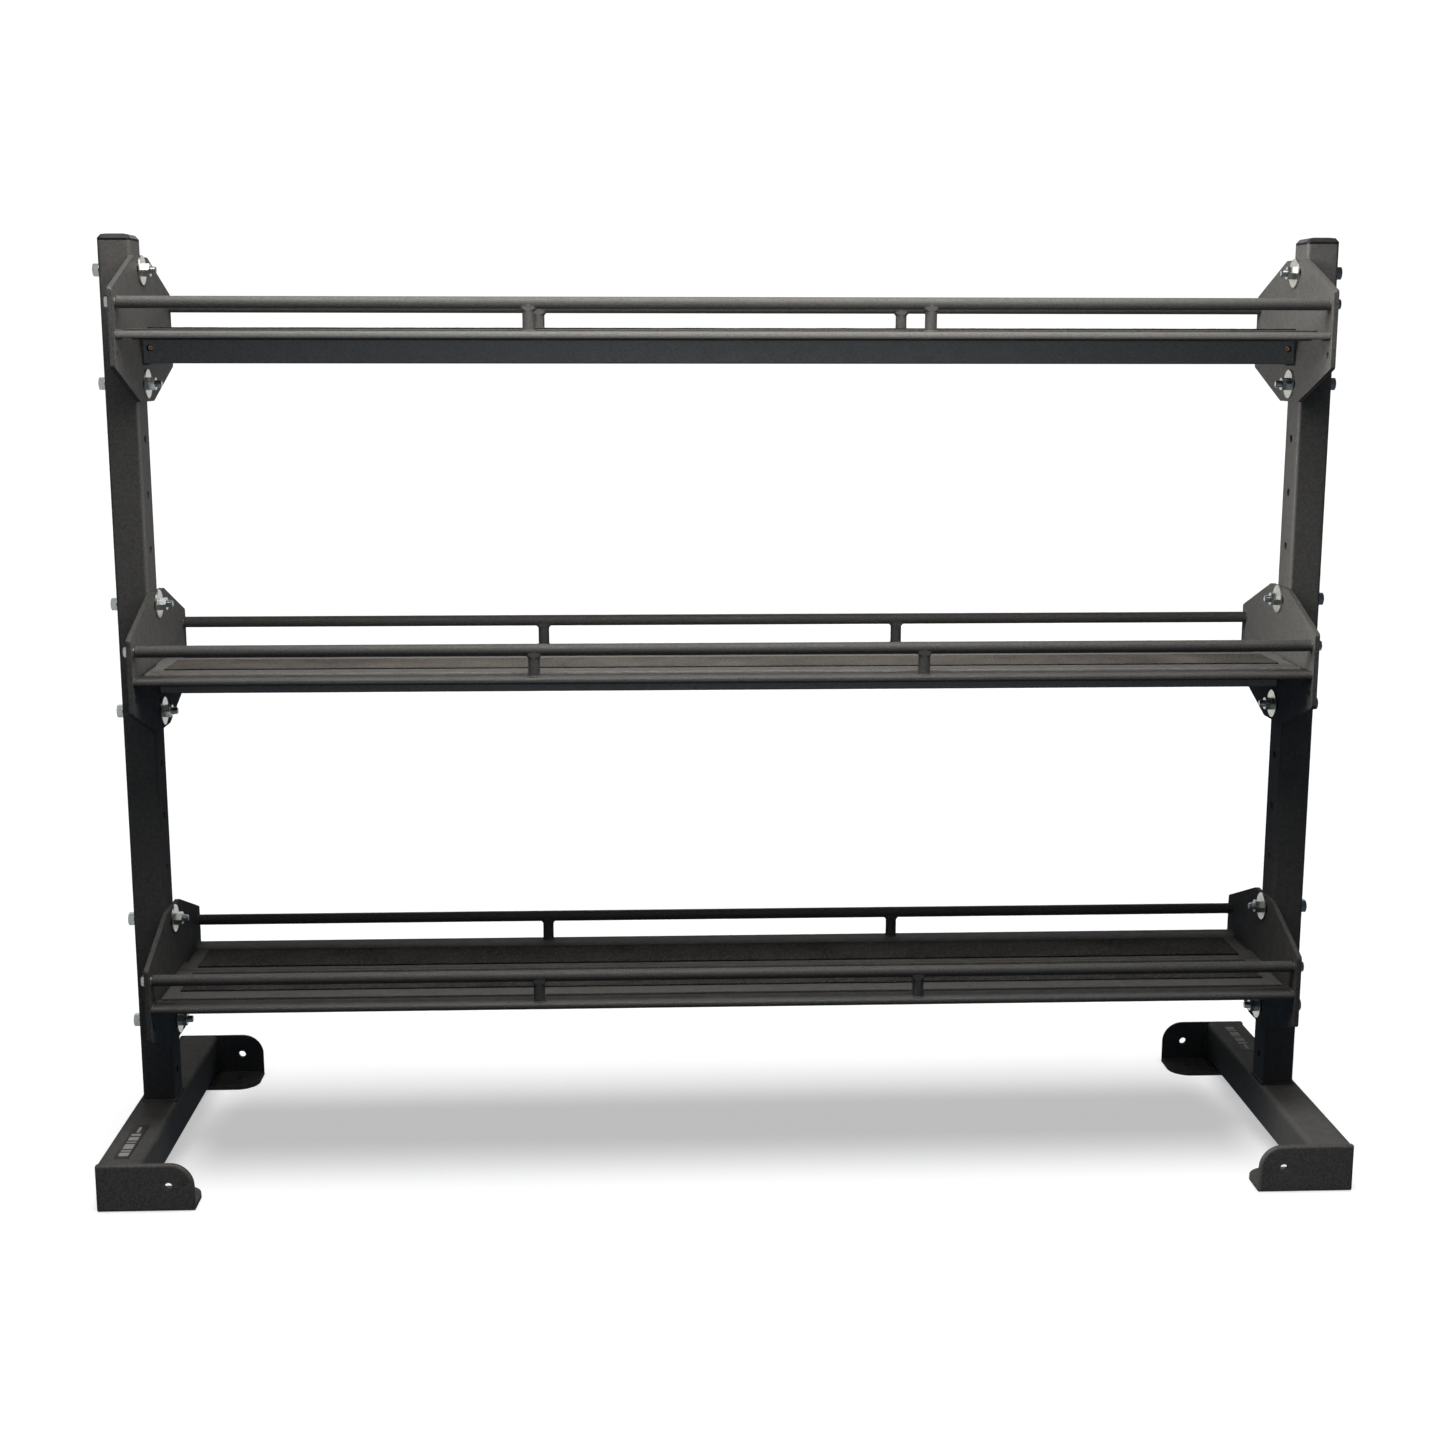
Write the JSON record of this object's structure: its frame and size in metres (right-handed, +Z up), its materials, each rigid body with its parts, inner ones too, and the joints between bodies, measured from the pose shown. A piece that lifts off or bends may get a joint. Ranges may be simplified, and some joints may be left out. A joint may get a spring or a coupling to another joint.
{
  "type": "dumbbell rack",
  "caption": "Three-tier bolted steel dumbbell rack with perforated uprights, rubber-topped shelves, round guard rails and bracketed feet.",
  "frame": {"origin": "centre of the rack's footprint, on the floor under the feet", "axes": "+X along the shelves to the right seen from the front, +Y from the front rails to the rear rails, +Z up"},
  "size_m": [1.721, 0.5226, 1.297],
  "materials": {
    "frame": "fine textured charcoal powder coat on steel",
    "cap": "glossy black moulded end plug",
    "mat": "granular crumb rubber strip",
    "label": "plain adhesive strip, no mark",
    "zinc": "bright zinc plated fasteners"
  },
  "bodies": {
    "root": {"upright_left": "frame", "upright_cap_left": "cap", "foot_tube_left": "frame", "foot_label_left": "label", "foot_bracket_front_left": "frame", "foot_bracket_rear_left": "frame", "upright_right": "frame", "upright_cap_right": "cap", "foot_tube_right": "frame", "foot_label_right": "label", "foot_bracket_front_right": "frame", "foot_bracket_rear_right": "frame", "upper_side_plate_left": "frame", "upper_side_plate_right": "frame", "upper_edge_bar_front": "frame", "upper_tray_front": "frame", "upper_mat_front": "mat", "upper_rail_front": "frame", "upper_edge_bar_rear": "frame", "upper_tray_rear": "frame", "upper_mat_rear": "mat", "upper_rail_rear": "frame", "upper_support_beam": "frame", "upper_cross_ribs": "frame", "upper_rail_posts": "frame", "middle_side_plate_left": "frame", "middle_side_plate_right": "frame", "middle_edge_bar_front": "frame", "middle_tray_front": "frame", "middle_mat_front": "mat", "middle_rail_front": "frame", "middle_edge_bar_rear": "frame", "middle_tray_rear": "frame", "middle_mat_rear": "mat", "middle_rail_rear": "frame", "middle_support_beam": "frame", "middle_cross_ribs": "frame", "middle_rail_posts": "frame", "lower_side_plate_left": "frame", "lower_side_plate_right": "frame", "lower_edge_bar_front": "frame", "lower_tray_front": "frame", "lower_mat_front": "mat", "lower_rail_front": "frame", "lower_edge_bar_rear": "frame", "lower_tray_rear": "frame", "lower_mat_rear": "mat", "lower_rail_rear": "frame", "lower_support_beam": "frame", "lower_cross_ribs": "frame", "lower_rail_posts": "frame", "frame_bolts": "zinc", "frame_flat_washers": "zinc", "frame_lock_washers": "zinc", "frame_fender_washers": "zinc", "frame_nuts": "zinc", "rail_bolts": "zinc", "rail_washers": "zinc"}
  },
  "joints": []
}
